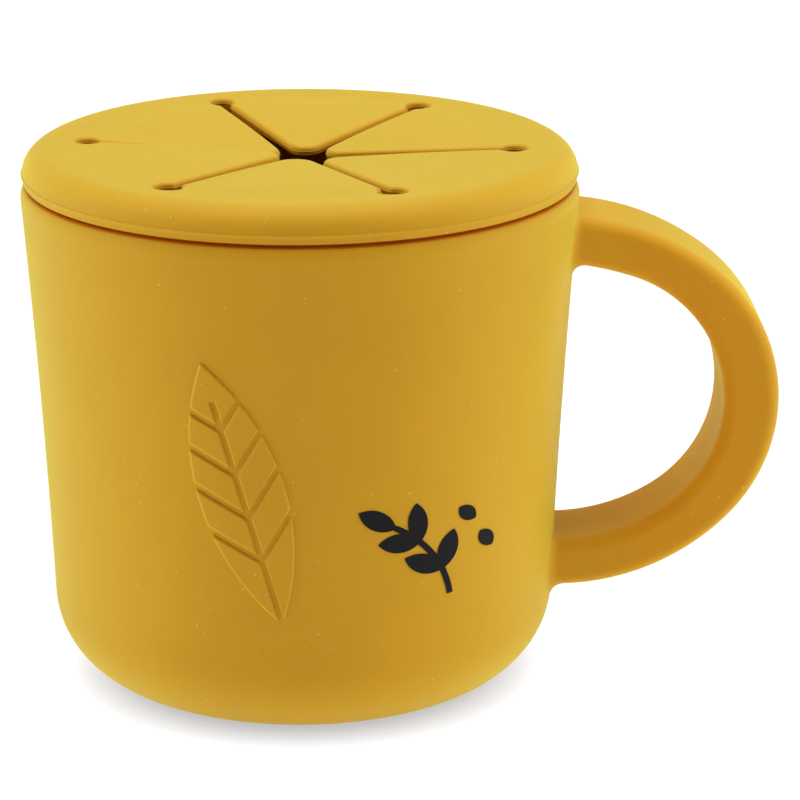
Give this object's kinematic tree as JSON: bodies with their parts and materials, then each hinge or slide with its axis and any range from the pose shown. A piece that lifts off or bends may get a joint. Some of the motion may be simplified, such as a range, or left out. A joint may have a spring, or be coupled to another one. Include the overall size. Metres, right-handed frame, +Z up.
{
  "type": "toddler snack cup",
  "caption": "Soft silicone snack cup for a toddler, with a D-shaped handle and a press-in lid cut into flaps that a small hand can push through.",
  "frame": {"origin": "centre of the cup's flat base", "axes": "+Z up along the cup's axis, +X through the middle of the handle, -Y the side that carries the raised leaf"},
  "size_m": [0.1171, 0.086, 0.0846],
  "materials": {
    "silicone": "matte",
    "ink": "matte"
  },
  "bodies": {
    "cup": {"cup": "silicone", "printed_marks": "ink"},
    "lid": {"lid": "silicone"},
    "flap_1": {"flap_1": "silicone"},
    "flap_2": {"flap_2": "silicone"},
    "flap_3": {"flap_3": "silicone"},
    "flap_4": {"flap_4": "silicone"},
    "flap_5": {"flap_5": "silicone"},
    "flap_6": {"flap_6": "silicone"}
  },
  "joints": [
    {"name": "lid_lift", "type": "slide", "parent": "cup", "child": "lid", "axis": [0, 0, 1], "range_m": [0, 0.03]},
    {"name": "flap_1_bend", "type": "hinge", "parent": "lid", "child": "flap_1", "pos_m": [0.02602, 0.01159, 0.0839], "axis": [-0.4067, 0.9135, 0], "range_deg": [-65, 60], "stiffness_Nm_per_rad": 0.006},
    {"name": "flap_2_bend", "type": "hinge", "parent": "lid", "child": "flap_2", "pos_m": [0.00298, 0.02833, 0.0839], "axis": [-0.9945, 0.1045, 0], "range_deg": [-65, 60], "stiffness_Nm_per_rad": 0.006},
    {"name": "flap_3_bend", "type": "hinge", "parent": "lid", "child": "flap_3", "pos_m": [-0.02304, 0.01674, 0.0839], "axis": [-0.5878, -0.809, 0], "range_deg": [-65, 60], "stiffness_Nm_per_rad": 0.006},
    {"name": "flap_4_bend", "type": "hinge", "parent": "lid", "child": "flap_4", "pos_m": [-0.02602, -0.01159, 0.0839], "axis": [0.4067, -0.9135, 0], "range_deg": [-65, 60], "stiffness_Nm_per_rad": 0.006},
    {"name": "flap_5_bend", "type": "hinge", "parent": "lid", "child": "flap_5", "pos_m": [-0.00298, -0.02833, 0.0839], "axis": [0.9945, -0.1045, 0], "range_deg": [-65, 60], "stiffness_Nm_per_rad": 0.006},
    {"name": "flap_6_bend", "type": "hinge", "parent": "lid", "child": "flap_6", "pos_m": [0.02304, -0.01674, 0.0839], "axis": [0.5878, 0.809, 0], "range_deg": [-65, 60], "stiffness_Nm_per_rad": 0.006}
  ]
}
